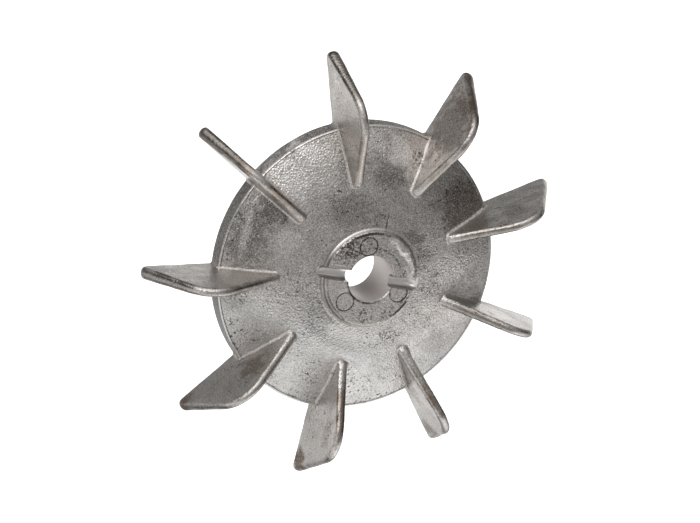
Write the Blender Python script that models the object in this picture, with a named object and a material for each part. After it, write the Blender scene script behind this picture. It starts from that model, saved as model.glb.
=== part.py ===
"""Die-cast aluminium blower wheel: slotted hub, domed plate with a turned-back rim, and radial blades.

Metres, +Z up. The wheel's axis is Y and its bladed front faces -Y. The origin lies on the axis,
in the plane of the rim's back edge. Shapes are drawn as (radius, height) outlines, where height
is measured forward from that plane, and the wheel_axis empty turns them to face the front.
"""

import math

import bmesh
import bpy
from mathutils import Matrix, Vector

# Seam between neighbouring features of the casting
SEAM = 0.0003

# Domed plate, the rim turned back round its edge, and the thin lip on the rim's front
RIM_DIAMETER = 0.0984
RIM_DEPTH = 0.0060
RIM_WALL = 0.0036
RIM_EDGE_ROUND = 0.0009
RIM_INNER_FILLET = 0.0022
LIP_WIDTH = 0.0012
LIP_HEIGHT = 0.00035
LIP_ROUND = 0.0004
DOME_RADIUS = 0.101
PLATE_THICKNESS = 0.0036

# Hub: a boss that stands proud of the dome, bored for the shaft and slotted for its cross pin
BORE_DIAMETER = 0.0159
BORE_CHAMFER = 0.0005
BOSS_DIAMETER = 0.0328
BOSS_RISE = 0.0019
BOSS_EDGE_ROUND = 0.0008
BOSS_FOOT_WIDTH = 0.0016
BOSS_FOOT_FILLET = 0.0009
HUB_LENGTH = 0.0172
HUB_BACK_TAPER = 0.0010
HUB_BACK_CHAMFER = 0.0006
PIN_SLOT_WIDTH = 0.0041
PIN_SLOT_DEPTH = 0.0038
PIN_SLOT_LEFT_REACH = 0.0203
PIN_SLOT_RIGHT_REACH = 0.0182
PIN_SLOT_END_ROUND = 0.0042

# Blades: flat fins that stand on the dome and run out past the rim
BLADE_COUNT = 9
BLADE_DOWN_ANGLE = math.radians(-90)
BLADE_ROOT_RADIUS = 0.0305
BLADE_NOSE_HEIGHT = 0.0011
BLADE_CORNER_OVERHANG = 0.0100
BLADE_CORNER_HEIGHT = 0.0298
BLADE_CORNER_ROUND = 0.0110
BLADE_TIP_OVERHANG = 0.0263
BLADE_TIP_ROUND = 0.0020
BLADE_EDGE_THICKNESS = 0.0027
BLADE_DRAFT = math.radians(1.45)
BLADE_EDGE_ROUND = 0.0010
BLADE_FOOT_FILLET = 0.0009

# Facets
TURNED_SEGMENTS = 72
ARC_STEPS = 4
DOME_STEPS = 8
ROOT_STEPS = 5
FOOT_STEPS = 3
SLOT_END_STEPS = 4
BLADE_ROUND_SEGMENTS = 2

# Sizes that follow from the driving ones
RIM_RADIUS = RIM_DIAMETER / 2
BOSS_RADIUS = BOSS_DIAMETER / 2
BORE_RADIUS = BORE_DIAMETER / 2
FOOT_RADIUS = BOSS_RADIUS + BOSS_FOOT_WIDTH
LIP_RADIUS = RIM_RADIUS - LIP_WIDTH
LIP_FOOT_RADIUS = LIP_RADIUS - LIP_HEIGHT
DOME_CENTRE = RIM_DEPTH - math.sqrt(DOME_RADIUS**2 - RIM_RADIUS**2)


def dome_height(radius, offset=0.0):
    """Height of the plate's front surface, or of a surface that lies offset in front of it."""
    return DOME_CENTRE + math.sqrt((DOME_RADIUS + offset) ** 2 - radius**2)


BOSS_FRONT = dome_height(BOSS_RADIUS) + BOSS_RISE
HUB_BACK = BOSS_FRONT - HUB_LENGTH
SLOT_FLOOR = BOSS_FRONT - PIN_SLOT_DEPTH


def on_dome(radius, offset=0.0):
    """The point of the dome, or of a surface parallel to it, at this radius."""
    return Vector((radius, dome_height(radius, offset)))


def along_dome(start_radius, end_radius, steps, offset=0.0):
    """Points along the dome, or along a surface parallel to it, from one radius to another."""
    radii = [start_radius + (end_radius - start_radius) * i / steps for i in range(steps + 1)]
    return [on_dome(radius, offset) for radius in radii]


def rounded(before, corner, after, radius, steps=ARC_STEPS):
    """An arc of this radius, tangent to both sides of a corner, as points from before to after."""
    to_before = (before - corner).normalized()
    to_after = (after - corner).normalized()
    half_angle = to_before.angle(to_after) / 2
    bisector = (to_before + to_after).normalized()
    centre = corner + bisector * radius / math.sin(half_angle)
    reach = radius / math.tan(half_angle)
    first = corner + to_before * reach - centre
    last = corner + to_after * reach - centre
    sweep = first.angle_signed(last)
    turns = [Matrix.Rotation(-sweep * i / steps, 2) for i in range(steps + 1)]
    return [centre + turn @ first for turn in turns]


def metal(name, colour, roughness):
    """A bare cast-aluminium finish."""
    material = bpy.data.materials.new(name)
    material.use_nodes = True
    shader = material.node_tree.nodes["Principled BSDF"]
    shader.inputs["Base Color"].default_value = (*colour, 1.0)
    shader.inputs["Metallic"].default_value = 1.0
    shader.inputs["Roughness"].default_value = roughness
    return material


def make_mesh(name, shape, material):
    """Turns a bmesh into a smooth-shaded mesh of one material."""
    bmesh.ops.recalc_face_normals(shape, faces=shape.faces)
    mesh = bpy.data.meshes.new(name)
    shape.to_mesh(mesh)
    shape.free()
    mesh.shade_smooth()
    mesh.set_sharp_from_angle(angle=math.radians(35))
    mesh.materials.append(material)
    return mesh


def add_object(name, mesh, parent):
    """A named object that rides on the wheel's axis."""
    made = bpy.data.objects.new(name, mesh)
    made.parent = parent
    bpy.context.scene.collection.objects.link(made)
    return made


def add_tool(name, shape, parent):
    """A shape that only cuts or joins other objects, and is no piece itself."""
    tool = add_object(name, make_mesh(name, shape, metal(name, (0.5, 0.5, 0.5), 0.5)), parent)
    tool.hide_render = True
    tool.display_type = "WIRE"
    return tool


def combine(target, operation, tool):
    """Cuts the tool's shape out of the target, or joins it on."""
    boolean = target.modifiers.new(tool.name, "BOOLEAN")
    boolean.operation = operation
    boolean.solver = "EXACT"
    boolean.object = tool


def turned(outline):
    """A closed (radius, height) outline spun round the axis into a solid ring."""
    shape = bmesh.new()
    points = [shape.verts.new((radius, 0.0, height)) for radius, height in outline]
    loop = [shape.edges.new((a, b)) for a, b in zip(points, points[1:] + points[:1])]
    bmesh.ops.spin(
        shape,
        geom=points + loop,
        axis=(0.0, 0.0, 1.0),
        cent=(0.0, 0.0, 0.0),
        angle=math.tau,
        steps=TURNED_SEGMENTS,
        use_merge=True,
    )
    return shape


def add_slot_cutter(parent):
    """A bar across the axis, from the slot's floor to well in front of the boss, with round ends."""
    top = SLOT_FLOOR + 2 * PIN_SLOT_DEPTH + PIN_SLOT_END_ROUND
    left_top = Vector((-PIN_SLOT_LEFT_REACH, top))
    left_end = Vector((-PIN_SLOT_LEFT_REACH, SLOT_FLOOR))
    right_end = Vector((PIN_SLOT_RIGHT_REACH, SLOT_FLOOR))
    right_top = Vector((PIN_SLOT_RIGHT_REACH, top))
    side = [
        left_top,
        *rounded(left_top, left_end, right_end, PIN_SLOT_END_ROUND, SLOT_END_STEPS),
        *rounded(left_end, right_end, right_top, PIN_SLOT_END_ROUND, SLOT_END_STEPS),
        right_top,
    ]
    shape = bmesh.new()
    face = shape.faces.new([shape.verts.new((x, -PIN_SLOT_WIDTH / 2, height)) for x, height in side])
    extruded = bmesh.ops.extrude_face_region(shape, geom=[face], use_keep_orig=True)
    far_side = [item for item in extruded["geom"] if isinstance(item, bmesh.types.BMVert)]
    bmesh.ops.translate(shape, vec=(0.0, PIN_SLOT_WIDTH, 0.0), verts=far_side)
    return add_tool("pin_slot_cutter", shape, parent)


def add_domed_plate(parent, slot_cutter):
    """The dome, with the rim turned back round its edge and a hollow behind it."""
    hole = FOOT_RADIUS + SEAM
    skirt = RIM_RADIUS - RIM_WALL
    front_corner = Vector((RIM_RADIUS, RIM_DEPTH + LIP_HEIGHT))
    back_corner = Vector((RIM_RADIUS, 0.0))
    skirt_corner = Vector((skirt, 0.0))
    inner_corner = on_dome(skirt, -PLATE_THICKNESS)
    lip_top = on_dome(LIP_RADIUS, LIP_HEIGHT)
    front = along_dome(hole, LIP_FOOT_RADIUS, DOME_STEPS)
    back = along_dome(skirt - RIM_INNER_FILLET * 2, hole, DOME_STEPS, -PLATE_THICKNESS)
    outline = [
        *front,
        lip_top,
        *rounded(lip_top, front_corner, back_corner, LIP_ROUND),
        *rounded(front_corner, back_corner, skirt_corner, RIM_EDGE_ROUND),
        skirt_corner,
        *rounded(skirt_corner, inner_corner, back[0], RIM_INNER_FILLET),
        *back,
    ]
    material = metal("plate_casting", (0.62, 0.61, 0.60), 0.42)
    plate = add_object("domed_plate", make_mesh("domed_plate", turned(outline), material), parent)
    combine(plate, "DIFFERENCE", slot_cutter)


def add_hub_boss(parent, slot_cutter):
    """The bored boss: its front stands proud on a filleted foot, and its back ends inside the rim."""
    bore_front = Vector((BORE_RADIUS, BOSS_FRONT))
    boss_front = Vector((BOSS_RADIUS, BOSS_FRONT))
    foot_corner = on_dome(BOSS_RADIUS)
    foot_end = on_dome(FOOT_RADIUS)
    foot_fillet = min(BOSS_FOOT_FILLET, BOSS_RISE - BOSS_EDGE_ROUND)
    boss_back = on_dome(BOSS_RADIUS, -PLATE_THICKNESS)
    hub_back = Vector((BOSS_RADIUS - HUB_BACK_TAPER, HUB_BACK))
    bore_back = Vector((BORE_RADIUS, HUB_BACK))
    outline = [
        bore_front + Vector((0.0, -BORE_CHAMFER)),
        bore_front + Vector((BORE_CHAMFER, 0.0)),
        *rounded(bore_front, boss_front, foot_corner, BOSS_EDGE_ROUND),
        *rounded(boss_front, foot_corner, foot_end, foot_fillet),
        foot_end,
        on_dome(FOOT_RADIUS, -PLATE_THICKNESS),
        boss_back,
        *rounded(boss_back, hub_back, bore_back, HUB_BACK_CHAMFER),
        bore_back + Vector((BORE_CHAMFER, 0.0)),
        bore_back + Vector((0.0, BORE_CHAMFER)),
    ]
    material = metal("hub_casting", (0.56, 0.55, 0.54), 0.38)
    hub = add_object("hub_boss", make_mesh("hub_boss", turned(outline), material), parent)
    combine(hub, "DIFFERENCE", slot_cutter)


def blade_outline():
    """A blade in its own plane: the free edge from nose to rim, then the root over rim and dome."""
    before_lip = LIP_FOOT_RADIUS - SEAM
    over_lip = LIP_HEIGHT + SEAM
    root = [
        Vector((RIM_RADIUS + SEAM, RIM_DEPTH + over_lip)),
        on_dome(before_lip, over_lip),
        *along_dome(before_lip, BLADE_ROOT_RADIUS, ROOT_STEPS, SEAM),
    ]
    nose = root[-1] + Vector((0.0, BLADE_NOSE_HEIGHT))
    corner = Vector((RIM_RADIUS + BLADE_CORNER_OVERHANG, BLADE_CORNER_HEIGHT))
    tip = Vector((RIM_RADIUS + BLADE_TIP_OVERHANG, 0.0))
    rim_foot = Vector((RIM_RADIUS + SEAM, 0.0))
    free = [
        nose,
        *rounded(nose, corner, tip, BLADE_CORNER_ROUND, 2 * ARC_STEPS),
        *rounded(corner, tip, rim_foot, BLADE_TIP_ROUND),
        rim_foot,
    ]
    return free, root


def half_thickness(height):
    """Half of a blade's thickness, which grows towards the back by the casting's draft."""
    return BLADE_EDGE_THICKNESS / 2 + (BLADE_CORNER_HEIGHT - height) * math.tan(BLADE_DRAFT)


def blade_shape():
    """One drafted fin: its outline extruded through the thickness, with its edge and nose rounded."""
    free, root = blade_outline()
    shape = bmesh.new()
    on_free_edge = shape.verts.layers.int.new("on_free_edge")
    points = [shape.verts.new((p.x, half_thickness(p.y), p.y)) for p in free + root]
    for point in points[: len(free)] + points[-1:]:
        point[on_free_edge] = 1
    near_side = shape.faces.new(points)
    extruded = bmesh.ops.extrude_face_region(shape, geom=[near_side], use_keep_orig=True)
    for item in extruded["geom"]:
        if isinstance(item, bmesh.types.BMVert):
            item.co.y = -item.co.y
    free_edges = [
        edge
        for edge in shape.edges
        if all(v[on_free_edge] for v in edge.verts) and edge.verts[0].co.y * edge.verts[1].co.y > 0
    ]
    bmesh.ops.bevel(
        shape,
        geom=free_edges,
        offset=BLADE_EDGE_ROUND,
        offset_type="OFFSET",
        segments=BLADE_ROUND_SEGMENTS,
        profile=0.5,
        affect="EDGES",
        clamp_overlap=True,
        material=-1,
    )
    shape.verts.layers.int.remove(on_free_edge)
    return shape


def foot_shape():
    """The fillet on both sides of a blade's root: a section spun round the dome's own centre."""
    fillet = BLADE_FOOT_FILLET
    half = half_thickness(dome_height(BLADE_ROOT_RADIUS))
    ground = DOME_RADIUS + SEAM
    corner = Vector((half, ground))
    out = corner + Vector((2 * fillet, 0.0))
    up = corner + Vector((0.0, 2 * fillet))
    right_side = rounded(out, corner, up, fillet, FOOT_STEPS)
    left_side = [Vector((-point.x, point.y)) for point in reversed(right_side)]
    start = math.asin(BLADE_ROOT_RADIUS / ground)
    end = math.asin((LIP_FOOT_RADIUS - SEAM) / ground)
    shape = bmesh.new()
    section = shape.faces.new([shape.verts.new((0.0, y, height)) for y, height in right_side + left_side])
    bmesh.ops.rotate(shape, verts=shape.verts, cent=(0.0, 0.0, 0.0), matrix=Matrix.Rotation(start, 3, "Y"))
    bmesh.ops.spin(
        shape,
        geom=[section],
        axis=(0.0, 1.0, 0.0),
        cent=(0.0, 0.0, 0.0),
        angle=end - start,
        steps=ROOT_STEPS,
        use_duplicate=False,
    )
    bmesh.ops.translate(shape, vec=(0.0, 0.0, DOME_CENTRE), verts=shape.verts)
    return shape


def add_blades(parent):
    """Equal blades round the axis, the first one straight down and square to the pin slot."""
    fin = make_mesh("fin", blade_shape(), metal("blade_casting", (0.60, 0.59, 0.57), 0.40))
    for number in range(BLADE_COUNT):
        blade = add_object(f"blade_{number + 1}", fin, parent)
        blade.rotation_euler.z = BLADE_DOWN_ANGLE + math.tau * number / BLADE_COUNT
        foot = add_tool(f"blade_foot_{number + 1}", foot_shape(), blade)
        combine(blade, "UNION", foot)


def main():
    for old in list(bpy.data.objects):
        bpy.data.objects.remove(old)
    axis = bpy.data.objects.new("wheel_axis", None)
    axis.rotation_euler.x = math.radians(90)
    bpy.context.scene.collection.objects.link(axis)
    slot_cutter = add_slot_cutter(axis)
    add_hub_boss(axis, slot_cutter)
    add_domed_plate(axis, slot_cutter)
    add_blades(axis)


main()
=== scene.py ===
# %% [markdown]
# # A die-cast blower wheel
# A furnace blower wheel is poured as one piece of aluminium: a slotted hub, a domed plate with its
# edge turned back, and nine flat blades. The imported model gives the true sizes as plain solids. This
# lesson dresses them: every feature gets soft cast edges and fillets, and a dull, stained metal.

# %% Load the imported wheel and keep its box
import math

import bmesh
import bpy
import numpy as np
from mathutils import Matrix, Vector, noise


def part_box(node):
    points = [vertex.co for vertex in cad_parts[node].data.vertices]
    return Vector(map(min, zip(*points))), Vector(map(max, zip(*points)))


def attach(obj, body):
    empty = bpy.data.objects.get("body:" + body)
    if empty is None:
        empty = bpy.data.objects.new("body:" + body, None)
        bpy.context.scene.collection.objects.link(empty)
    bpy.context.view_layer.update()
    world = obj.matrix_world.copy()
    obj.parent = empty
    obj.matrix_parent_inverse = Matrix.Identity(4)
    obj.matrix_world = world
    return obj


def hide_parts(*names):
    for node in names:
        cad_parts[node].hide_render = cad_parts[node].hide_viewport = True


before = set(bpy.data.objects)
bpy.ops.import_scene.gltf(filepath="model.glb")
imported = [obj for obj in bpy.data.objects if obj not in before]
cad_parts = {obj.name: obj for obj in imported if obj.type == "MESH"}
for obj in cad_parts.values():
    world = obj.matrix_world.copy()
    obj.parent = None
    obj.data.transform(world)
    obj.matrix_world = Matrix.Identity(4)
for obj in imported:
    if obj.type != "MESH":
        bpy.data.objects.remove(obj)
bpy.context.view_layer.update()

# %% [markdown]
# ## Sizes
# Outlines are easiest to think about in millimetres, as a radius from the axis and a height forward
# of the wheel's back plane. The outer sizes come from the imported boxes, so the dressed pieces can't
# drift away from the solids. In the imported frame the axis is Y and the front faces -Y.

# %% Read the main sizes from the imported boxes
MM = 0.001


def node_span(node):
    """A node's lowest and highest corners, in millimetres."""
    low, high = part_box(node)
    return Vector(low) / MM, Vector(high) / MM


BOSS_FOOT_WIDTH = 1.6
_, plate_high = node_span("domed_plate")
hub_low, hub_high = node_span("hub_boss")
blade_low, _ = node_span("blade_1")
RIM_RADIUS = plate_high.x
FOOT_RADIUS = hub_high.x
BOSS_RADIUS = FOOT_RADIUS - BOSS_FOOT_WIDTH
BOSS_FRONT = -hub_low.y
HUB_BACK = -hub_high.y
BLADE_FRONT = -blade_low.y
TIP_RADIUS = -blade_low.z
BLADES = sorted(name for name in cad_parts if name.startswith("blade_"))
print(f"rim {RIM_RADIUS:.1f}, boss {BOSS_RADIUS:.1f}, tip {TIP_RADIUS:.1f}, front {BLADE_FRONT:.1f} mm")

# %% Name the sizes of the casting's sections
RIM_DEPTH = 6.0
RIM_WALL = 3.6
RIM_EDGE_ROUND = 0.9
PLATE_THICKNESS = 3.6
DOME_RADIUS = 101.0
DOME_CENTRE = RIM_DEPTH - math.sqrt(DOME_RADIUS**2 - RIM_RADIUS**2)
BORE_RADIUS = 7.95
SLOT_WIDTH = 4.1
SLOT_DEPTH = 3.8
SLOT_LEFT_REACH = 20.3
SLOT_RIGHT_REACH = 18.2


def dome_height(radius, offset=0.0):
    """Height of the plate's front, or of a surface that lies offset in front of it."""
    return DOME_CENTRE + math.sqrt((DOME_RADIUS + offset) ** 2 - radius**2)


print(f"dome: {dome_height(BOSS_RADIUS):.2f} mm at the boss, {dome_height(RIM_RADIUS):.2f} mm at the rim")

# %% [markdown]
# ## Outlines with rounded corners
# A casting has no sharp corners: molten metal can't fill them and the die would crack. So every
# outline here is a few corner points, each with its own radius, and one helper swaps each corner for
# an arc. Short steps along the result give spin and grid something smooth to follow.

# %% A helper that rounds the corners of an outline
ARC_STEPS = 8


def rounded(before, corner, after, radius):
    """Points of an arc that is tangent to both sides of a corner."""
    to_before = (before - corner).normalized()
    to_after = (after - corner).normalized()
    half_angle = to_before.angle(to_after) / 2
    centre = corner + (to_before + to_after).normalized() * radius / math.sin(half_angle)
    reach = radius / math.tan(half_angle)
    first = corner + to_before * reach - centre
    last = corner + to_after * reach - centre
    sweep = first.angle_signed(last)
    turns = [Matrix.Rotation(-sweep * step / ARC_STEPS, 2) for step in range(ARC_STEPS + 1)]
    return [centre + turn @ first for turn in turns]


def outline(*corners):
    """A path of (radius, height, rounding) corners, as points with the roundings in place."""
    places = [Vector(corner[:2]) for corner in corners]
    path = [places[0]]
    for before, corner, after, values in zip(places, places[1:], places[2:], corners[1:]):
        path += rounded(before, corner, after, values[2]) if values[2] else [corner]
    return path + [places[-1]]


def spread(path, count):
    """The path as count + 1 points at even steps of length."""
    points = np.array([tuple(p) for p in path])
    lengths = np.concatenate([[0.0], np.cumsum(np.linalg.norm(np.diff(points, axis=0), axis=1))])
    at = np.linspace(0.0, lengths[-1], count + 1)
    return np.stack([np.interp(at, lengths, points[:, axis]) for axis in (0, 1)], axis=1)


print("an edge of radius 1 becomes", len(outline((0, 0), (0, 2, 1), (2, 2))), "points")

# %% [markdown]
# ## From outline to wheel
# Pieces are drawn lying down, with the axis along Z, because spin and rotate are then simple. The
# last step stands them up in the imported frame, in metres, and leaves each object at the origin. A
# little noise in the points keeps the surfaces from looking machined.

# %% Helpers that finish a piece
STAND_UP = Matrix.Rotation(math.radians(90), 4, "X") @ Matrix.Scale(MM, 4)
WAVE_LENGTH = 7.0
WAVE_HEIGHT = 0.05


def ripple(shape, height=WAVE_HEIGHT, length=WAVE_LENGTH):
    """Moves each point along its normal by a slow noise, but never behind the back plane."""
    shape.normal_update()
    moves = [v.normal * noise.noise(v.co / length) * height for v in shape.verts]
    for vertex, move in zip(shape.verts, moves):
        vertex.co += move
        vertex.co.z = max(vertex.co.z, 0.0)


def finish_piece(name, shape, nodes):
    """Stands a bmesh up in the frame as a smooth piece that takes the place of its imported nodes."""
    bmesh.ops.recalc_face_normals(shape, faces=shape.faces)
    bmesh.ops.transform(shape, matrix=STAND_UP, verts=shape.verts)
    mesh = bpy.data.meshes.new(name)
    shape.to_mesh(mesh)
    shape.free()
    mesh.shade_smooth()
    piece = bpy.data.objects.new(name, mesh)
    bpy.context.scene.collection.objects.link(piece)
    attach(piece, "root")
    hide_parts(*nodes)
    print(name, "has", sum(len(face.vertices) - 2 for face in mesh.polygons), "triangles")
    return piece


def spun(path, steps):
    """A closed (radius, height) path, spun round the axis."""
    shape = bmesh.new()
    points = [shape.verts.new((radius, 0.0, height)) for radius, height in path]
    loop = [shape.edges.new(pair) for pair in zip(points, points[1:] + points[:1])]
    bmesh.ops.spin(shape, geom=points + loop, axis=(0, 0, 1), cent=(0, 0, 0), angle=math.tau,
                   steps=steps, use_merge=True)
    bmesh.ops.recalc_face_normals(shape, faces=shape.faces)
    return shape


print(f"pieces ripple by up to {WAVE_HEIGHT} mm over lengths of {WAVE_LENGTH} mm")

# %% [markdown]
# ## The cross-pin slot
# The shaft drives the wheel through a pin that lies in a straight slot across the hub. The slot also
# nicks the dome on both sides, where its floor curves up at each end. One function makes the bar that
# is subtracted from the hub and from the plate, so the two cuts line up.

# %% The bar that cuts the slot
SLOT_FLOOR = BOSS_FRONT - SLOT_DEPTH
SLOT_END_ROUND = 4.2
SLOT_FLOOR_ROUND = 1.7
SLOT_ROUND_STEPS = 6
SHARP_ANGLE = math.radians(32)


def slot_bar():
    """A bar from the slot's floor to well in front of the hub, with round ends and a soft floor."""
    top = SLOT_FLOOR + 3 * SLOT_DEPTH
    side = outline(
        (-SLOT_LEFT_REACH, top),
        (-SLOT_LEFT_REACH, SLOT_FLOOR, SLOT_END_ROUND),
        (SLOT_RIGHT_REACH, SLOT_FLOOR, SLOT_END_ROUND),
        (SLOT_RIGHT_REACH, top),
    )
    shape = bmesh.new()
    near_side = shape.faces.new([shape.verts.new((x, -SLOT_WIDTH / 2, z)) for x, z in side])
    made = bmesh.ops.extrude_face_region(shape, geom=[near_side], use_keep_orig=True)
    far_side = [item for item in made["geom"] if isinstance(item, bmesh.types.BMVert)]
    bmesh.ops.translate(shape, vec=(0, SLOT_WIDTH, 0), verts=far_side)
    # The floor's two long edges and those of its round ends, but not the edges across the bar
    floor_edges = [
        e for e in shape.edges
        if all(v.co.z < top - 1 for v in e.verts) and abs(e.verts[0].co.y - e.verts[1].co.y) < 0.1
    ]
    bmesh.ops.bevel(shape, geom=floor_edges, offset=SLOT_FLOOR_ROUND, segments=SLOT_ROUND_STEPS, profile=0.5,
                    affect="EDGES", material=-1)
    return shape


def cut_away(piece, shape):
    """Subtracts a bmesh from a piece and keeps the result as the piece's own mesh."""
    bmesh.ops.recalc_face_normals(shape, faces=shape.faces)
    bmesh.ops.transform(shape, matrix=STAND_UP, verts=shape.verts)
    mesh = bpy.data.meshes.new("cutter")
    shape.to_mesh(mesh)
    shape.free()
    cutter = bpy.data.objects.new("cutter", mesh)
    bpy.context.scene.collection.objects.link(cutter)
    boolean = piece.modifiers.new("cut", "BOOLEAN")
    boolean.operation = "DIFFERENCE"
    boolean.solver = "EXACT"
    boolean.object = cutter
    graph = bpy.context.evaluated_depsgraph_get()
    piece.data = bpy.data.meshes.new_from_object(piece.evaluated_get(graph))
    piece.modifiers.clear()
    piece.data.shade_smooth()
    piece.data.set_sharp_from_angle(angle=SHARP_ANGLE)
    bpy.data.objects.remove(cutter)


print(f"slot floor at {SLOT_FLOOR:.2f} mm, {SLOT_WIDTH} mm wide")

# %% [markdown]
# ## The domed plate
# The plate is a shallow dome whose edge turns back into a short rim, so it is hollow behind. It is a
# surface of revolution: one closed outline, spun. The front is stepped finely, because the eye sees
# every wobble in a broad shiny surface, and the back more coarsely.

# %% Spin the plate
PLATE_STEPS = 288
FRONT_RINGS = 44
BACK_RINGS = 16
RIM_INNER_FILLET = 2.2
TUCK = 0.03
LIP_WIDTH = 0.7
LIP_HEIGHT = 0.30
LIP_SIDE = 0.3
LIP_ROUND = 0.2


def dome_arc(start, end, rings, offset=0.0):
    """Points along the dome between two radii."""
    return [Vector((r, dome_height(r, offset))) for r in np.linspace(start, end, rings + 1)]


def plate_outline():
    """The dome's front, the rim, and the hollow behind, ending at the hub's foot."""
    skirt = RIM_RADIUS - RIM_WALL
    lip = RIM_RADIUS - LIP_WIDTH
    inner = FOOT_RADIUS - TUCK
    front = dome_arc(inner, lip - 2 * LIP_SIDE, FRONT_RINGS)
    back = dome_arc(skirt - 2 * RIM_INNER_FILLET, inner, BACK_RINGS, -PLATE_THICKNESS)
    edge = outline(
        (*front[-1], 0),
        (lip - LIP_SIDE, dome_height(lip - LIP_SIDE), LIP_ROUND),
        (lip, dome_height(lip) + LIP_HEIGHT, LIP_ROUND),
        (RIM_RADIUS, RIM_DEPTH + LIP_HEIGHT, LIP_WIDTH / 3),
        (RIM_RADIUS, 0.0, RIM_EDGE_ROUND),
        (skirt, 0.0, RIM_EDGE_ROUND),
        (skirt, dome_height(skirt, -PLATE_THICKNESS), RIM_INNER_FILLET),
        (*back[0], 0),
    )
    return front[:-1] + edge + back[1:]


plate_shape = spun(plate_outline(), PLATE_STEPS)
print("plate:", len(plate_shape.verts), "points")

# %% Let the plate sink a little below the hub, where the thick metal cooled last
SINK_RADIUS = 23.0
SINK_WIDTH = 4.0
SINK_DEPTH = 0.30
SINK_ANGLE = -112.0
SINK_SWEEP = 55.0


def polar(vertex):
    """A point's radius, and its angle in degrees from +X."""
    return math.hypot(vertex.co.x, vertex.co.y), math.degrees(math.atan2(vertex.co.y, vertex.co.x))


def hump(away, width):
    """1 at no distance, falling softly to 0 at this width."""
    return max(0.0, 1.0 - (away / width) ** 2) ** 2


for vertex in plate_shape.verts:
    radius, angle = polar(vertex)
    if vertex.co.z > dome_height(radius, -PLATE_THICKNESS / 2):
        sink = hump(radius - SINK_RADIUS, SINK_WIDTH) * hump(angle - SINK_ANGLE, SINK_SWEEP)
        vertex.co.z -= SINK_DEPTH * sink
ripple(plate_shape)
plate = finish_piece("domed_plate_casting", plate_shape, ["domed_plate"])
cut_away(plate, slot_bar())

# %% [markdown]
# ## The hub
# The hub is a thick sleeve: its front boss stands a little proud of the dome and its back ends inside
# the hollow. The bore is reamed smooth after casting. Round witness marks on the face show where the
# ejector pins pushed the casting out of the die, and a ragged band is where the die halves leaked.

# %% Spin the hub
HUB_STEPS = 288
FACE_RINGS = 22
BORE_CHAMFER = 0.35
BOSS_EDGE_ROUND = 0.7
BOSS_FOOT_FILLET = 0.9
BACK_TAPER = 1.0
BACK_ROUND = 0.6


def hub_outline():
    """Front face, boss wall with a soft foot on the dome, back sleeve and bore."""
    face = [
        Vector((r, BOSS_FRONT))
        for r in np.linspace(BORE_RADIUS + BORE_CHAMFER, BOSS_RADIUS - 2 * BOSS_EDGE_ROUND, FACE_RINGS)
    ]
    rest = outline(
        (*face[-1], 0),
        (BOSS_RADIUS, BOSS_FRONT, BOSS_EDGE_ROUND),
        (BOSS_RADIUS, dome_height(BOSS_RADIUS), BOSS_FOOT_FILLET),
        (FOOT_RADIUS, dome_height(FOOT_RADIUS), 0),
        (FOOT_RADIUS, dome_height(FOOT_RADIUS, -PLATE_THICKNESS), 0),
        (BOSS_RADIUS, dome_height(BOSS_RADIUS, -PLATE_THICKNESS), BOSS_FOOT_FILLET),
        (BOSS_RADIUS - BACK_TAPER, HUB_BACK, BACK_ROUND),
        (BORE_RADIUS + BORE_CHAMFER, HUB_BACK, 0),
        (BORE_RADIUS, HUB_BACK + BORE_CHAMFER, 0),
        (BORE_RADIUS, BOSS_FRONT - BORE_CHAMFER, 0),
    )
    return face + rest[1:]


hub_shape = spun(hub_outline(), HUB_STEPS)
print("hub outline:", len(hub_outline()), "points")

# %% Raise the ragged band of flash on the hub's face
FLASH_RADIUS = 14.4
FLASH_WIDTH = 2.1
FLASH_ANGLE = 40.0
FLASH_SWEEP = 50.0
FLASH_HEIGHT = 0.75
FLASH_WANDER = 1.5
FLASH_LUMP = 2.6


def flash_height(vertex):
    """How far the leaked metal stands up at a point of the face, in a ridge that wanders."""
    radius, angle = polar(vertex)
    lumps = noise.noise(vertex.co / FLASH_LUMP)
    across = radius - FLASH_RADIUS + FLASH_WANDER * lumps
    return FLASH_HEIGHT * hump(across, FLASH_WIDTH) * hump(angle - FLASH_ANGLE, FLASH_SWEEP)


for vertex in hub_shape.verts:
    if vertex.co.z > BOSS_FRONT - 0.01:
        vertex.co.z += flash_height(vertex)
ripple(hub_shape)
hub = finish_piece("hub_casting", hub_shape, ["hub_boss"])

# %% Cut the pin slot and the ejector-pin marks
MARK_CIRCLE = 11.4
MARK_RADIUS = 3.1
MARK_GROOVE = 0.32
MARK_DEPTH = 0.25
MARK_CLEARANCE = 2.0
MARK_STEPS = 48
MARK_ANGLES = (109, 230, 343)


def mark_ring(angle):
    """A thin ring that cuts the groove round one ejector-pin mark."""
    half = MARK_GROOVE / 2
    top = BOSS_FRONT + MARK_CLEARANCE
    bottom = BOSS_FRONT - MARK_DEPTH
    ring = spun([(MARK_RADIUS - half, bottom), (MARK_RADIUS + half, bottom),
                 (MARK_RADIUS + half, top), (MARK_RADIUS - half, top)], MARK_STEPS)
    place = Matrix.Rotation(math.radians(angle), 4, "Z") @ Matrix.Translation((MARK_CIRCLE, 0, 0))
    bmesh.ops.transform(ring, matrix=place, verts=ring.verts)
    return ring


cut_away(hub, slot_bar())
for mark_angle in MARK_ANGLES:
    cut_away(hub, mark_ring(mark_angle))
print("hub has", len(hub.data.polygons), "faces after the cuts")

# %% [markdown]
# ## The blades
# Each blade is a flat fin in a plane through the axis. It is thin at its front edge and thicker at
# the back, so that it slides out of the die, its free edge is rounded, and its foot flares into the
# plate in a fillet. One way is to extrude the outline and bevel it, but the fillet would still be
# missing. Here a flat grid is stretched between the free edge and a line inside the plate, and each
# point is pushed out by the thickness that the blade has there.

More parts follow.
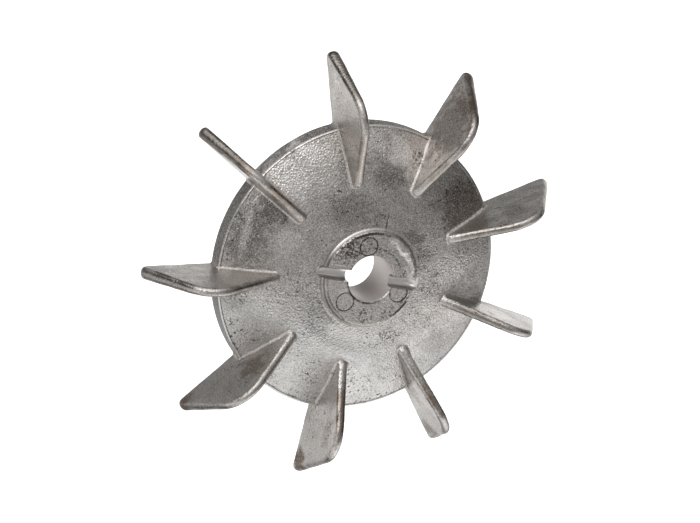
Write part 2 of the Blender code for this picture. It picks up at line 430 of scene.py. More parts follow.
# %% The blade's outline and the line of its root
ROOT_RADIUS = 30.5
NOSE_HEIGHT = 1.1
NOSE_FOOT = ROOT_RADIUS - 0.15
NOSE_TOP = ROOT_RADIUS + 0.25
NOSE_FOOT_ROUND = 1.0
NOSE_ROUND = 0.7
NOSE_TUCK = 1.6
NOSE_SINK = 0.5
CORNER_RADIUS = RIM_RADIUS + 10.0
CORNER_HEIGHT = 29.8
CORNER_ROUND = 11.0
TIP_CORNER = RIM_RADIUS + 26.2
TIP_ROUND = 2.0
BACK_EDGE = 0.1
RIM_OVERLAP = 1.0
ROOT_DEPTH = 1.2
ROOT_START = ROOT_RADIUS + 0.3
ROOT_END = BACK_EDGE + 0.5
ROOT_RINGS = 12


def free_edge():
    """From inside the plate over the nose, along the front, round the tip and back to the rim."""
    inner = ROOT_RADIUS - NOSE_TUCK
    return outline(
        (inner, dome_height(inner) - NOSE_SINK, 0),
        (NOSE_FOOT, dome_height(ROOT_RADIUS), NOSE_FOOT_ROUND),
        (NOSE_TOP, dome_height(ROOT_RADIUS) + NOSE_HEIGHT, NOSE_ROUND),
        (CORNER_RADIUS, CORNER_HEIGHT, CORNER_ROUND),
        (TIP_CORNER, BACK_EDGE, TIP_ROUND),
        (RIM_RADIUS - RIM_OVERLAP, BACK_EDGE, 0),
    )


def root_line():
    """Inside the plate, along the dome and then down behind the rim."""
    edge = RIM_RADIUS - ROOT_DEPTH
    return dome_arc(ROOT_START, edge, ROOT_RINGS, -ROOT_DEPTH) + [Vector((edge, ROOT_END))]


print("free edge:", len(free_edge()), "points")

# %% Thickness of the blade at any place
EDGE_HALF_THICKNESS = 1.35
DRAFT = math.tan(math.radians(1.45))
EDGE_ROUND = 1.35
EDGE_FLAT = 0.03
ROOT_FILLET = 0.9


def gap_to(points, path):
    """The shortest way from each point to a path."""
    start, step = path[:-1], np.diff(path, axis=0)
    reach = points[:, None, :] - start[None]
    along = np.clip((reach * step).sum(2) / (step**2).sum(1), 0.0, 1.0)
    return np.linalg.norm(reach - along[..., None] * step, axis=2).min(1)


def half_thickness(points, edge):
    """Half the blade's thickness: draft, plus the root's fillet, less the rounding of the edge."""
    radius, height = points[:, 0], points[:, 1]
    from_dome = np.hypot(radius, height - DOME_CENTRE) - DOME_RADIUS
    from_plate = np.clip(np.maximum(from_dome, radius - RIM_RADIUS), 0.0, ROOT_FILLET)
    fillet = ROOT_FILLET - np.sqrt(ROOT_FILLET**2 - (ROOT_FILLET - from_plate) ** 2)
    from_edge = np.clip(gap_to(points, edge), 0.0, EDGE_ROUND)
    bullnose = np.sqrt(1.0 - (1.0 - EDGE_FLAT) * (1.0 - from_edge / EDGE_ROUND) ** 2)
    return (EDGE_HALF_THICKNESS + (CORNER_HEIGHT - height) * DRAFT + fillet) * bullnose


print("at the back plane a blade is", round(2 * (EDGE_HALF_THICKNESS + CORNER_HEIGHT * DRAFT), 2), "mm")

# %% Stretch a grid into one blade
ALONG = 150
ACROSS = 44


def blade_shape():
    """Two copies of a grid, pushed apart by the thickness and bridged all the way round."""
    edge = spread(free_edge(), ALONG)
    root = spread(root_line(), ALONG)
    shape = bmesh.new()
    bmesh.ops.create_grid(shape, x_segments=ALONG, y_segments=ACROSS, size=1.0)
    place = np.array([v.co[:2] for v in shape.verts])
    column = np.rint((place[:, 0] + 1) / 2 * ALONG).astype(int)
    share = 0.5 - 0.5 * np.cos(math.pi * (place[:, 1] + 1) / 2)
    points = edge[column] + share[:, None] * (root[column] - edge[column])
    for vertex, (radius, height), half in zip(shape.verts, points, half_thickness(points, edge)):
        vertex.co = (radius, half, height)
    rim = [e for e in shape.edges if e.is_boundary]
    other = bmesh.ops.duplicate(shape, geom=shape.verts[:] + shape.edges[:] + shape.faces[:])
    for item in other["geom"]:
        if isinstance(item, bmesh.types.BMVert):
            item.co.y = -item.co.y
    other_rim = [other["edge_map"][e] for e in rim]
    bmesh.ops.bridge_loops(shape, edges=rim + other_rim)
    return shape


blade_pattern = blade_shape()
print("one blade:", len(blade_pattern.verts), "points")

# %% Set a blade at each packed place
FIRST_BLADE = math.radians(-90)
BLADE_WAVE_HEIGHT = 0.10
BLADE_WAVE_LENGTH = 4.0

blades = []
for number, node in enumerate(BLADES):
    shape = blade_pattern.copy()
    turn = Matrix.Rotation(FIRST_BLADE + math.tau * number / len(BLADES), 4, "Z")
    bmesh.ops.transform(shape, matrix=turn, verts=shape.verts)
    bmesh.ops.recalc_face_normals(shape, faces=shape.faces)
    ripple(shape, height=BLADE_WAVE_HEIGHT, length=BLADE_WAVE_LENGTH)
    blades.append(finish_piece(f"{node}_casting", shape, [node]))
blade_pattern.free()

# %% [markdown]
# ## Writing shader maths
# A material's pattern is arithmetic on positions and noise. Wiring Math nodes by hand hides the
# formula, so one small class lets a socket be used like a number: each sum or product adds its node.

# %% A socket that can be added, multiplied and raised to a power
class Wire:
    """A node's output in a material, used like a number."""

    def __init__(self, output):
        self.output = output
        self.tree = output.id_data

    def node(self, kind, settings, sockets, output=0):
        """Adds any node: its settings first, then the values or wires of its sockets."""
        made = self.tree.nodes.new(kind)
        for name, value in settings.items():
            setattr(made, name, value)
        for name, value in sockets.items():
            if isinstance(value, Wire):
                self.tree.links.new(value.output, made.inputs[name])
            else:
                made.inputs[name].default_value = value
        return Wire(made.outputs[output])

    def maths(self, operation, *values):
        """Adds a Math node that works on these values."""
        return self.node("ShaderNodeMath", {"operation": operation}, dict(enumerate(values)))

    def __add__(self, other):
        return self.maths("ADD", self, other)

    def __radd__(self, other):
        return self.maths("ADD", other, self)

    def __sub__(self, other):
        return self.maths("SUBTRACT", self, other)

    def __rsub__(self, other):
        return self.maths("SUBTRACT", other, self)

    def __mul__(self, other):
        return self.maths("MULTIPLY", self, other)

    def __truediv__(self, other):
        return self.maths("DIVIDE", self, other)

    def __pow__(self, other):
        return self.maths("POWER", self, other)

    def __abs__(self):
        return self.maths("ABSOLUTE", self)


def largest(first, second):
    """The larger of two wires."""
    return first.maths("MAXIMUM", first, second)


def step(value, low, high):
    """0 below low and 1 above high, with a soft rise, or a fall where low is the larger."""
    return value.node("ShaderNodeMapRange", {"interpolation_type": "SMOOTHSTEP"},
                      {"Value": value, "From Min": low, "From Max": high})


def blend(share, colour, other):
    """One colour going over to another as share goes from 0 to 1."""
    return share.node("ShaderNodeMix", {"data_type": "RGBA"},
                      {"Factor": share, 6: colour, 7: other}, output=2)


print("a wire can be used in sums, so 1 - mask is a node")

# %% [markdown]
# ## Places on the wheel
# The pattern needs to know where it is: how far from the axis, how far forward and at which angle.
# Object coordinates give that for every piece alike, since all pieces sit at the origin, so the
# finish runs on from one piece to the next as it does on one casting.

# %% Helpers for places and noise
class Place:
    """Where a point of the surface lies, in millimetres and degrees."""

    def __init__(self, material):
        tree = material.node_tree
        coordinates = tree.nodes.new("ShaderNodeTexCoord")
        metres = Wire(coordinates.outputs["Object"])
        self.spot = metres.node("ShaderNodeVectorMath", {"operation": "SCALE"},
                                {0: metres, "Scale": 1.0 / MM})
        split = self.spot.node("ShaderNodeSeparateXYZ", {}, {0: self.spot})
        sides = split.output.node.outputs
        self.x, self.forward, self.z = Wire(sides[0]), 0 - Wire(sides[1]), Wire(sides[2])
        self.radius = (self.x * self.x + self.z * self.z) ** 0.5
        self.angle = self.x.maths("ARCTAN2", self.z, self.x) * math.degrees(1)

    def noise(self, length, detail=3.0, rough=0.55, at=None, offset=0.0):
        """A noise from 0 to 1, about 0.5 on average, whose lumps have this length."""
        source = at or self.spot
        moved = source.node("ShaderNodeVectorMath", {"operation": "ADD"}, {0: source, 1: (offset,) * 3})
        return moved.node("ShaderNodeTexNoise", {}, {"Vector": moved, "Scale": 1.0 / length,
                                                     "Detail": detail, "Roughness": rough})


def new_metal(name):
    """An empty metal with its shader and the places on it."""
    material = bpy.data.materials.new(name)
    material.use_nodes = True
    shader = material.node_tree.nodes["Principled BSDF"]
    shader.inputs["Metallic"].default_value = 1.0
    return material, shader, Place(material)


def feed(shader, **wires):
    """Links wires to the shader's sockets, whose spaces are written as underscores."""
    for name, wire in wires.items():
        socket = shader.inputs[name.replace("_", " ")]
        shader.id_data.links.new(wire.output, socket)


print("places are read in millimetres from the axis")

# %% [markdown]
# ## As-cast aluminium
# Bare cast aluminium is a dull grey with a fine orange-peel skin. Cold metal leaves cloudy patches,
# some shiny and some matt, gas leaves dark pits, and years of service leave brown stains that gather
# on the front edges of the blades. Each is a noise with its own size, and soft spots put the larger
# patches where the photograph shows them.

# %% Colours of the casting, and where it is cracked and pitted
# The bright colour also paints highlights and sheen, and the soot and hollow colours also paint shade.
SILVER = (0.74, 0.70, 0.665, 1)
DULL = (0.46, 0.43, 0.405, 1)
BRIGHT_AND_HIGHLIGHT = (0.93, 0.90, 0.87, 1)
SOOT_AND_SHADE = (0.055, 0.048, 0.043, 1)
HOLLOW_AND_SHADE = (0.19, 0.175, 0.165, 1)
RUST = (0.19, 0.135, 0.10, 1)
# Each spot in these lists is a centre, half sizes in millimetres and a strength from 0 to 1
CRACKED = [
    ((-21, -16, -5), (6, 20, 6), 1.0),
    ((24, -14, -11), (6, 20, 4), 1.0),
    ((-9, -16, 26), (5, 20, 4), 1.0),
]
PITTED = [
    ((25, -14, -2), (3, 20, 3), 1.0),
    ((14, -16, -19), (4, 20, 3), 0.9),
    ((-40, -9, -14), (4, 20, 3), 0.8),
    ((10, -9, 41), (3, 20, 4), 1.0),
    ((34, -11, 12), (3, 20, 3), 0.8),
    ((-33, -8, -39), (4, 3, 4), 1.0),
    ((0, -19, -54), (3, 3, 6), 1.0),
    ((22, -14, 60), (3, 4, 4), 1.0),
    ((48, -16, 28), (3, 3, 3), 1.0),
]
print(len(CRACKED), "cracked and", len(PITTED), "pitted places")

# %% Soft spots with ragged edges
RAGGED_LENGTH = 3.0
RAGGED_REACH = 2.2


def spotted(place, spots):
    """How strongly a point lies in soft ragged spots, each a centre, half sizes and a strength."""
    ragged = (place.noise(RAGGED_LENGTH, 4.0, 0.62, offset=300.0) - 0.5) * RAGGED_REACH
    total = None
    for centre, sizes, strength in spots:
        away = place.spot.node("ShaderNodeVectorMath", {"operation": "SUBTRACT"},
                               {0: place.spot, 1: centre})
        away = away.node("ShaderNodeVectorMath", {"operation": "DIVIDE"}, {0: away, 1: sizes})
        far = away.node("ShaderNodeVectorMath", {"operation": "LENGTH"}, {0: away}, output=1)
        here = step(far + ragged, 1.2, 0.4) * strength
        total = here if total is None else largest(total, here)
    return total


print("the edge of a spot wanders over", RAGGED_LENGTH, "mm")

# %% The skin that all of the casting shares
GRAIN_LENGTH = 0.62
SPECK_LENGTH = 0.42
GRAIN_DEPTH = 0.25
CRACK_ANGLE = 84.0
CRACK_END = 23.0


class Skin:
    """Clouds, grain, pits and hair cracks of a cast surface, each from 0 to 1."""

    def __init__(self, place):
        self.place = place
        self.clouds = step(place.noise(22.0, 4.0, 0.6), 0.38, 0.64)
        self.patches = step(place.noise(5.0, 4.0, 0.6, offset=40.0), 0.40, 0.62)
        self.grain = place.noise(GRAIN_LENGTH, 2.0, 0.5, offset=5.0)
        self.specks = place.noise(SPECK_LENGTH, 1.0, 0.5, offset=55.0) * 0.75 + self.grain * 0.25
        pit_field = step(place.noise(11.0, 2.0, offset=90.0), 0.44, 0.62)
        self.pits = step(place.noise(0.9, 2.0, 0.5, offset=17.0), 0.625, 0.675) * pit_field
        pitted = spotted(place, PITTED) * step(place.noise(0.8, 3.0, 0.6, offset=120.0), 0.52, 0.60)
        self.pits = largest(pitted, self.pits)
        self.cracks = self.lines()

    def lines(self):
        """Short dark hair lines where a slow noise crosses its middle, and one crack at the hub."""
        place = self.place
        wander = place.noise(4.0, 3.0, 0.6, offset=210.0) - 0.5
        line = step(abs(wander), 0.012, 0.003)
        here = step(place.noise(6.5, 2.0, offset=260.0), 0.62, 0.70)
        line = line * largest(here, spotted(place, CRACKED))
        across = (place.angle - CRACK_ANGLE) * place.radius / math.degrees(1) + wander * 3.0
        crack = step(abs(across), 0.32, 0.12)
        crack = crack * step(place.radius, CRACK_END, CRACK_END - 2.0)
        crack = crack * step(place.radius, BOSS_RADIUS - 0.6, BOSS_RADIUS)
        return largest(line, crack)

    def dark(self):
        """Pits and cracks together."""
        return largest(self.pits, self.cracks)

    def speckle(self, colour, depth):
        """A colour made darker in the grain's hollows and brighter on its tops, with dark pits."""
        colour = blend(step(self.specks, 0.50, 0.39) * depth, colour, HOLLOW_AND_SHADE)
        colour = blend(step(self.specks, 0.50, 0.61) * depth * 0.9, colour, BRIGHT_AND_HIGHLIGHT)
        return blend(self.dark() * 0.85, colour, SOOT_AND_SHADE)

    def relief(self):
        """The surface's height for a Bump node."""
        return self.grain - self.dark() * 0.6


def bump(height, distance=GRAIN_DEPTH):
    """A Bump node for a height whose full range is this distance in millimetres."""
    return height.node("ShaderNodeBump", {}, {"Height": height, "Distance": distance * MM})


print("the skin has pits, cracks and grain")

# %% Where the plate is tarnished, where sheen and shade are painted on it, and where it is stained
# Dark spots of tarnish; those close round the boss are painted shade beside it.
TARNISH_AND_SHADE = [
    ((-42, -9, 7), (8, 20, 13), 0.60),
    ((-36, -11, 16), (7, 20, 6), 0.75),
    ((-42, -8, -17), (4, 20, 4), 0.40),
    ((-13, -16, 21), (12, 20, 6), 0.45),
    ((1, -13, 34), (9, 20, 5), 0.55),
    ((-15, -11, 36), (4, 20, 6), 0.45),
    ((12, -17, 15), (5, 20, 4), 0.60),
    ((17, -16, 9), (4, 20, 5), 0.42),
    ((32, -10, 27), (14, 20, 10), 0.56),
    ((-12, -17, -15), (7, 20, 8), 0.60),
    ((9, -13, -32), (12, 20, 8), 0.35),
]
# Bright spots of painted sheen: the colour is lightened there and the roughness lowered.
PAINTED_SHEEN = [
    ((-43, -9, 7), (1.5, 20, 9), 0.55),
    ((-33, -10, 26), (8, 20, 8), 0.70),
    ((-26, -9, 36), (8, 20, 4), 0.65),
    ((-30, -14, 8), (5, 20, 4), 0.50),
    ((-32, -12, -14), (7, 20, 6), 0.55),
    ((30, -13, 4), (8, 20, 7), 0.40),
    ((-5, -8, 44), (5, 20, 3), 0.60),
    ((4, -9, 42), (6, 20, 5), 1.00),
    ((-6, -17, -18), (4, 20, 2), 0.35),
    ((39, -11, -8), (6, 20, 9), 0.75),
]
PLATE_STAINS = [
    ((32, -11, -21), (7, 20, 5), 0.55),
    ((32, -10, 28), (12, 20, 9), 0.50),
]
print("patches on the plate:", len(TARNISH_AND_SHADE) + len(PAINTED_SHEEN) + len(PLATE_STAINS))

# %% Masks for the rim, for thin circles and for the slot
SLOT_METAL = (0.95, 0.92, 0.89, 1)


def rim_wall(place):
    """1 on the rim's outer wall, which is darker than the rest."""
    return step(place.radius, RIM_RADIUS - 0.20, RIM_RADIUS - 0.06)


def circle_line(place, centre, radius, half_width):
    """1 on a thin circle round a line that runs forward, 0 beside it."""
    x = place.x - centre[0]
    z = place.z - centre[1]
    away = (x * x + z * z) ** 0.5 - radius
    return step(abs(away), half_width, half_width / 3)


def from_dome(place):
    """How far a point lies in front of the dome's surface."""
    ahead = place.forward - DOME_CENTRE
    return (place.radius * place.radius + ahead * ahead) ** 0.5 - DOME_RADIUS


def in_slot(place, depth):
    """1 inside the pin slot, for points this deep below the surface round it."""
    across = abs(place.z)
    inside = step(across, SLOT_WIDTH / 2 + 0.10, SLOT_WIDTH / 2 - 0.05)
    in_front = step(place.forward, SLOT_FLOOR - 0.4, SLOT_FLOOR - 0.1)
    return inside * in_front * step(depth, 0.10, 0.30)


def slot_colour(place, colour, slot):
    """Smooth metal in the slot, with painted shade along its lower wall."""
    colour = blend(slot, colour, SLOT_METAL)
    # The slot's lower part is darkened as painted shade.
    return blend(slot * step(place.z, -0.7, -1.6) * 0.75, colour, SOOT_AND_SHADE)


print("a mask is 1 inside a feature and 0 outside it")

# %% The plate's finish
LIP_CREST = RIM_RADIUS - 0.36
LIP_INNER = RIM_RADIUS - LIP_WIDTH
SLOT_LIMIT = 22.0
PLATE_ROUGHNESS = 0.37
PLATE_SPECKLE = 0.48
CALM_SPECKLE = 0.20
BELOW_LIGHT_TINT = (0.60, 0.60, 0.595, 1)


def plate_aluminium():
    """Cloudy metal with patches, painted sheen and shade, a dull rim wall, a painted highlight on the lip
    and a smooth slot.
    """
    material, shader, place = new_metal("plate_aluminium")
    skin = Skin(place)
    slot = in_slot(place, 0 - from_dome(place)) * step(place.radius, SLOT_LIMIT, SLOT_LIMIT - 0.5)
    lip = circle_line(place, (0, 0), LIP_CREST, 0.34)
    # A thin line inside the lip, at the upper left only, is darkened as painted shade in the groove.
    upper_left = step(place.z - place.x, -30.0, 10.0)
    groove = circle_line(place, (0, 0), LIP_INNER - 0.20, 0.40) * upper_left
    wall = rim_wall(place)
    painted_shine = spotted(place, PAINTED_SHEEN)
    tarnish_and_shade = spotted(place, TARNISH_AND_SHADE)
    tarnish_and_shade = largest(tarnish_and_shade, wall * 0.86 + groove * 0.5)
    colour = blend(skin.clouds * 0.45 + skin.patches * 0.30 + 0.25, DULL, SILVER)
    # Tarnish darkens the colour, together with painted shade by the boss and in the groove.
    colour = blend(tarnish_and_shade, colour, SOOT_AND_SHADE)
    # Painted sheen lightens the spots listed above.
    colour = blend(painted_shine, colour, BRIGHT_AND_HIGHLIGHT)
    colour = blend(spotted(place, PLATE_STAINS), colour, RUST)
    # Towards the bottom the colour is painted the neutral grey of the light from below, and speckled less.
    lower_side = step(place.z, -4.0, -26.0)
    colour = blend(lower_side * 0.6, colour, BELOW_LIGHT_TINT)
    colour = skin.speckle(colour, PLATE_SPECKLE - lower_side * CALM_SPECKLE)
    # The lip's crest is lightened as a painted highlight.
    colour = blend(lip * 0.7, colour, BRIGHT_AND_HIGHLIGHT)
    feed(shader, Base_Color=slot_colour(place, colour, slot))
    rough = PLATE_ROUGHNESS - skin.clouds * 0.12 - (painted_shine + lip) * 0.08 - slot * 0.01 + wall * 0.45
    feed(shader, Roughness=rough)
    slot_end = slot * step(place.x, -16.5, -18.5)
    feed(shader, Metallic=1 - wall * 0.9 - slot_end * 0.8)
    feed(shader, Normal=bump(skin.relief() * (1 - slot) * (1 - lip * 0.7)))
    return material


def dress(piece, material):
    """Gives a piece its one material."""
    piece.data.materials.clear()
    piece.data.materials.append(material)


plate_metal = plate_aluminium()
dress(plate, plate_metal)
print("plate metal has", len(plate_metal.node_tree.nodes), "nodes")

# %% [markdown]
# ## The blades' finish
# Blades meet the air first, so grit darkens and browns their free edges, and the die has left fine
# lines along their length. Both follow the blade's own outline, which is the same for every blade in
# radius and height, so two straight-line formulas say how far a point lies from the edge.

# %% Where the blades are stained and rusty
BLADE_STAINS = [
    ((22, -14, 60), (5, 9, 6), 0.90),
    ((19, -12, 54), (10, 14, 15), 0.70),
    ((24, -4, 66), (4, 6, 5), 0.45),
    ((-19, -12, 52), (9, 14, 11), 0.20),
    ((0, -4, -70), (6, 5, 5), 1.00),
    ((0, -19, -54), (4, 4, 7), 0.25),
    ((-31, -16, -37), (6, 7, 7), 0.75),
    ((-47, -3, -55), (5, 4, 5), 0.85),
    ((48, -16, 28), (5, 5, 4), 0.55),
    ((44, -9, -52), (6, 9, 5), 0.75),
    ((31, -8, -37), (7, 6, 7), 0.45),
]
EDGE_RUST = [
    ((0, -23, -46), (5, 9, 14), 0.70),
    ((33, -23, -39), (9, 9, 11), 0.70),
    ((22, -14, 60), (9, 14, 12), 0.45),
    ((-48, -22, 28), (18, 14, 12), 0.45),
]
print("patches on the blades:", len(BLADE_STAINS) + len(EDGE_RUST))

# %% Masks for a blade's edge and root
FRONT_START = dome_height(ROOT_RADIUS) + NOSE_HEIGHT
FRONT_SLOPE = (CORNER_HEIGHT - FRONT_START) / (CORNER_RADIUS - ROOT_RADIUS)
OUTER_SLOPE = (TIP_CORNER - CORNER_RADIUS) / CORNER_HEIGHT


def from_free_edge(place):
    """How far a point lies inside the straight front edge or the straight outer edge."""
    front = FRONT_START + (place.radius - ROOT_RADIUS) * FRONT_SLOPE - place.forward
    outer = TIP_CORNER - place.forward * OUTER_SLOPE - place.radius
    return front.maths("MINIMUM", front, outer)


def near_root(place):
    """1 in the fillet where the blade meets the dome."""
    return step(from_dome(place), 0.8, 0.2)


print(f"the front edge rises by {FRONT_SLOPE:.3f} mm for each mm of radius")

# %% The blades' finish
EDGE_GRIME_WIDTH = 2.0
EDGE_BROWN = (0.20, 0.165, 0.135, 1)
BLADE_ROUGHNESS = 0.38
BLADE_SPECKLE = 0.34


def blade_aluminium():
    """Metal with die lines along the blade, stains, grime along the free edge and a painted highlight along
    the root.
    """
    material, shader, place = new_metal("blade_aluminium")
    skin = Skin(place)
    along = place.radius.node("ShaderNodeCombineXYZ", {}, {
        0: place.radius * 0.12, 1: place.forward * 1.6, 2: place.angle})
    die_lines = place.noise(1.0, 3.0, 0.6, at=along)
    edge = step(from_free_edge(place) + skin.patches * 0.8, EDGE_GRIME_WIDTH, 0.6)
    edge = edge * step(place.radius, ROOT_RADIUS + 1.0, ROOT_RADIUS + 8.0)
    stain = spotted(place, BLADE_STAINS)
    colour = blend(skin.clouds * 0.3 + skin.patches * 0.2 + (die_lines - 0.2) * 0.8, DULL, SILVER)
    colour = blend(stain, colour, RUST)
    colour = skin.speckle(colour, BLADE_SPECKLE)
    # The edge grime is fainter on the lower blades.
    lower_blades = step(place.z, 0.0, -20.0)
    colour = blend(edge * (0.55 - lower_blades * 0.40), colour, EDGE_BROWN)
    colour = blend(edge * spotted(place, EDGE_RUST), colour, RUST)
    # The fillet at the blade's root is lightened as a painted highlight.
    root = near_root(place)
    colour = blend(root * 0.18, colour, BRIGHT_AND_HIGHLIGHT)
    feed(shader, Base_Color=colour)
    rough = BLADE_ROUGHNESS - skin.clouds * 0.08 + stain * 0.1 - edge * 0.10 + root * 0.14
    feed(shader, Roughness=rough)
    feed(shader, Normal=bump((skin.relief() * 0.7 + die_lines * 0.25) * (1 - edge * 0.5)))
    return material


blade_metal = blade_aluminium()
for blade in blades:
    dress(blade, blade_metal)
print("blade metal has", len(blade_metal.node_tree.nodes), "nodes")

# %% [markdown]
# ## The hub's metal
# The hub shares the casting's skin, but its bore and the slot are smooth where tools and the pin have
# worked, and grime has settled in the line round the boss and inside the ejector-pin marks. A highlight
# on the boss edge at the upper left, and shade at the boss's foot and bore's edge at the lower left, are
# painted into the colour.

# %% Where the hub is dirty, and where shade is painted on it
GRIME_RING = BOSS_RADIUS - 0.80
WITNESS_RADIUS = 10.6
HUB_DIRT = [
    ((-11, -19, 9), (5, 20, 5), 0.70),
    ((1, -19, -12), (3.5, 20, 3.5), 0.65),
    ((9, -19, -11), (4.0, 20, 3.0), 0.65),
    ((14, -19, -6), (2, 20, 3), 0.70),
]
# Dirt on the line round the boss; the spot at the lower left is painted shade under the boss edge.
RING_DIRT_AND_SHADE = [
    ((-5, -19, 15), (8, 20, 5), 0.90),
    ((13, -19, -9), (4, 20, 4), 1.00),
    ((-12, -19, -10), (8, 20, 9), 0.60),
]


def bore_metal(place):
    """1 in the bore, which is reamed smooth."""
    return step(place.radius, BORE_RADIUS + 0.12, BORE_RADIUS + 0.02)


def grime_and_shade_lines(place):
    """Dark lines round the boss, the bore and the ejector marks, and the witness of a washer; at the lower
    left, those at the boss and the bore are painted shade.
    """
    broken = step(place.noise(0.9, 3.0, 0.6, offset=33.0), 0.36, 0.56)
    upper_right = step(place.x + place.z, 2.0, 9.0)
    lines = circle_line(place, (0, 0), GRIME_RING, 0.60) * spotted(place, RING_DIRT_AND_SHADE)
    lines = lines + circle_line(place, (0, 0), WITNESS_RADIUS, 0.50) * upper_right * broken * 0.5
    # At the lower left the bore's chamfer is darkened as painted shade.
    lower_left = step(place.z + place.x * 0.5, 0.0, -6.0)
    bore_edge_shade = circle_line(place, (0, 0), BORE_RADIUS + BORE_CHAMFER, 0.55) * lower_left
    lines = lines + bore_edge_shade * (broken * 0.45 + 0.4)
    for angle in MARK_ANGLES:
        turn = math.radians(angle)
        centre = (MARK_CIRCLE * math.cos(turn), MARK_CIRCLE * math.sin(turn))
        lines = lines + circle_line(place, centre, MARK_RADIUS, 0.40) * (broken * 0.45 + 0.3)
    return lines


print("patches on the hub:", len(HUB_DIRT) + len(RING_DIRT_AND_SHADE))

# %% The hub's finish
REAMED = (0.75, 0.70, 0.675, 1)
HUB_ROUGHNESS = 0.40
HUB_SPECKLE = 0.45
HUB_GRAIN_DEPTH = 0.19


def hub_aluminium():
    """Metal with a dirty face, a painted highlight on the boss edge, painted shade at its foot, bright
    flash, a smooth slot and a reamed bore.
    """
    material, shader, place = new_metal("hub_aluminium")
    skin = Skin(place)
    bore = bore_metal(place)
    slot = in_slot(place, BOSS_FRONT - 0.3 - place.forward)
    slot = slot * step(place.radius, BORE_RADIUS + 0.02, BORE_RADIUS + 0.12)
    rough_metal = (1 - bore) * (1 - slot)
    pepper = step(place.noise(0.85, 4.0, 0.65, offset=71.0), 0.42, 0.60)
    low = step(place.z, 8.0, -6.0)
    # Dirt, together with the painted shade of the lines above.
    dirt_and_shade = grime_and_shade_lines(place) + pepper * (spotted(place, HUB_DIRT) + 0.45 - low * 0.35)
    on_face = step(place.forward, BOSS_FRONT - 1.2, BOSS_FRONT - 0.7)
    leaked = step(place.forward, BOSS_FRONT + 0.06, BOSS_FRONT + 0.25)
    dirt_and_shade = step(dirt_and_shade, 0.0, 1.0) * rough_metal * on_face * (1 - leaked * 0.8)
    # A painted highlight on the boss edge at the upper left.
    upper_left = step(place.z - place.x, 4.0, 14.0)
    painted_shine = circle_line(place, (0, 0), BOSS_RADIUS + 0.2, 0.8) * upper_left
    colour = blend(skin.clouds * 0.3 + skin.patches * 0.3 + low * 0.55, DULL, SILVER)
    colour = skin.speckle(colour, HUB_SPECKLE)
    colour = blend(leaked * 0.4, colour, BRIGHT_AND_HIGHLIGHT)
    colour = blend(painted_shine * 0.45, colour, BRIGHT_AND_HIGHLIGHT)
    # Painted shade at the boss's foot on the lower left.
    lower_left = step(place.x + place.z, -4.0, -14.0)
    foot = circle_line(place, (0, 0), BOSS_RADIUS + 0.3, 1.0) * lower_left
    colour = blend(foot * 0.6, colour, HOLLOW_AND_SHADE)
    colour = blend(dirt_and_shade * 0.9, colour, SOOT_AND_SHADE)
    colour = blend(bore, slot_colour(place, colour, slot), REAMED)
    feed(shader, Base_Color=colour)
    rough = HUB_ROUGHNESS - skin.clouds * 0.06 + dirt_and_shade * 0.2 + bore * 0.18 - slot * 0.06
    feed(shader, Roughness=rough)
    relief = (skin.relief() - dirt_and_shade * 0.5) * rough_metal * (1 - painted_shine * 0.7)
    feed(shader, Normal=bump(relief, HUB_GRAIN_DEPTH))
    return material


hub_metal = hub_aluminium()
dress(hub, hub_metal)
print("hub metal has", len(hub_metal.node_tree.nodes), "nodes")

# %% [markdown]
# ## Floor and light
# Bare metal shows only what it reflects, so its light is a room with broad soft panels, some bright
# and some dim, and never one hard lamp. The panels here are soft lobes on the room itself: brightest
# at the upper left, strong in a small window at the left, behind on the right and low on the right,
# and dim in front. The pale floor lies far below, where no shadow shows, and takes no part in the
# light.

# %% A pale floor
FLOOR_DROP = 0.60
FLOOR_SIZE = 60.0


def pale_floor():
    """A wide pale plane that glows a little and shows only to the camera."""
    shape = bmesh.new()
    bmesh.ops.create_grid(shape, x_segments=1, y_segments=1, size=FLOOR_SIZE / 2)
    bmesh.ops.translate(shape, vec=(0, 0, -FLOOR_DROP), verts=shape.verts)
    mesh = bpy.data.meshes.new("floor")
    shape.to_mesh(mesh)
    shape.free()
    material = bpy.data.materials.new("pale_floor")
    material.use_nodes = True
    shader = material.node_tree.nodes["Principled BSDF"]
    shader.inputs["Base Color"].default_value = (0.8, 0.8, 0.8, 1)
    shader.inputs["Emission Color"].default_value = (1, 1, 1, 1)
    shader.inputs["Emission Strength"].default_value = 0.9
    mesh.materials.append(material)
    made = bpy.data.objects.new("floor", mesh)
    made.visible_glossy = False
    made.visible_diffuse = False
    bpy.context.scene.collection.objects.link(made)


pale_floor()
print("floor", FLOOR_DROP, "m below the axis")

# %% A room with soft panels
ROOM_LIGHT = 0.94
# Each panel is a direction, a strength and the cosine of the angle at which it has faded out
PANELS = {
    "right, low": ((0.75, -0.30, -0.60), 1.10, 0.70),
    "below": ((0.25, -0.35, -0.90), 0.78, 0.70),
    "below left": ((-0.40, -0.55, -0.75), 0.52, 0.70),
    "left, low": ((-0.85, -0.20, -0.45), 0.87, 0.70),
    "upper left": ((-0.50, -0.30, 0.80), 1.87, 0.70),
    "above": ((0.20, -0.20, 0.95), 0.44, 0.70),
    "front, low": ((0.00, -0.95, -0.30), 0.21, 0.70),
    "front, left": ((-0.30, -0.90, 0.35), 0.32, 0.70),
    "front, right": ((0.50, -0.77, 0.40), 0.27, 0.70),
    "behind, right": ((0.55, 0.83, 0.05), 1.36, 0.70),
    "behind, low": ((0.10, 0.86, -0.50), 0.75, 0.70),
    "behind, left": ((-0.50, 0.86, 0.10), 0.28, 0.70),
    "behind, low left": ((-0.45, 0.82, -0.35), 0.42, 0.70),
    "window at the left": ((-0.70, -0.46, 0.44), 1.45, 0.92),
}


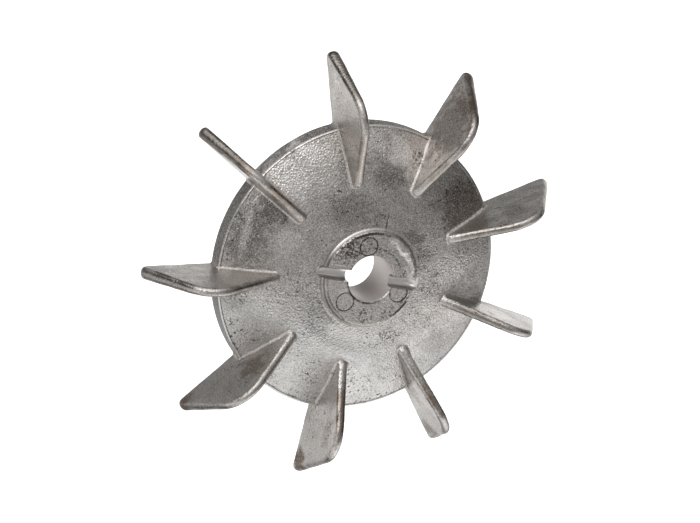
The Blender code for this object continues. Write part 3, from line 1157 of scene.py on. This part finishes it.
def soft_room():
    """A world whose strength is the sum of the panels in each direction."""
    room = bpy.data.worlds.new("room")
    room.use_nodes = True
    tree = room.node_tree
    towards = Wire(tree.nodes.new("ShaderNodeTexCoord").outputs["Generated"])
    glow = None
    for direction, strength, reach in PANELS.values():
        facing = towards.node("ShaderNodeVectorMath", {"operation": "DOT_PRODUCT"},
                              {0: towards, 1: Vector(direction).normalized()}, output=1)
        lobe = step(facing, reach, 1.0) * strength
        glow = lobe if glow is None else glow + lobe
    glow = glow * ROOM_LIGHT
    tree.links.new(glow.output, tree.nodes["Background"].inputs["Strength"])
    tree.nodes["Background"].inputs["Color"].default_value = (1, 1, 1, 1)
    bpy.context.scene.world = room
    bpy.context.scene.view_settings.view_transform = "Standard"


soft_room()
print("panels:", list(PANELS))

# %% [markdown]
# ## The camera
# The photograph was taken with a long lens from the left and a little above, with the wheel turned
# in the picture. Azimuth, height and roll put the camera on a sphere round the wheel, which keeps
# each of them a plain number that can be checked against the picture.

# %% Camera at the photograph's viewing angle
CAMERA_AZIMUTH = -26.60
CAMERA_ELEVATION = 13.11
CAMERA_ROLL = 14.26
CAMERA_DISTANCE = 1.1566
CAMERA_LENS = 180.0
CAMERA_AIM = Vector((-2.5, -6.0, 1.5)) * MM


def add_camera():
    """A camera on a sphere round the aim, turned, tilted and rolled."""
    data = bpy.data.cameras.new("camera")
    data.lens = CAMERA_LENS
    data.sensor_width = 36.0
    made = bpy.data.objects.new("camera", data)
    turn = Matrix.Rotation(math.radians(CAMERA_AZIMUTH), 4, "Z")
    tilt = Matrix.Rotation(math.radians(90 - CAMERA_ELEVATION), 4, "X")
    roll = Matrix.Rotation(math.radians(CAMERA_ROLL), 4, "Z")
    back_off = Matrix.Translation((0, 0, CAMERA_DISTANCE))
    made.matrix_world = Matrix.Translation(CAMERA_AIM) @ turn @ tilt @ roll @ back_off
    bpy.context.scene.collection.objects.link(made)
    bpy.context.scene.camera = made
    return made


camera = add_camera()
print("camera at", [round(value, 3) for value in camera.matrix_world.translation])
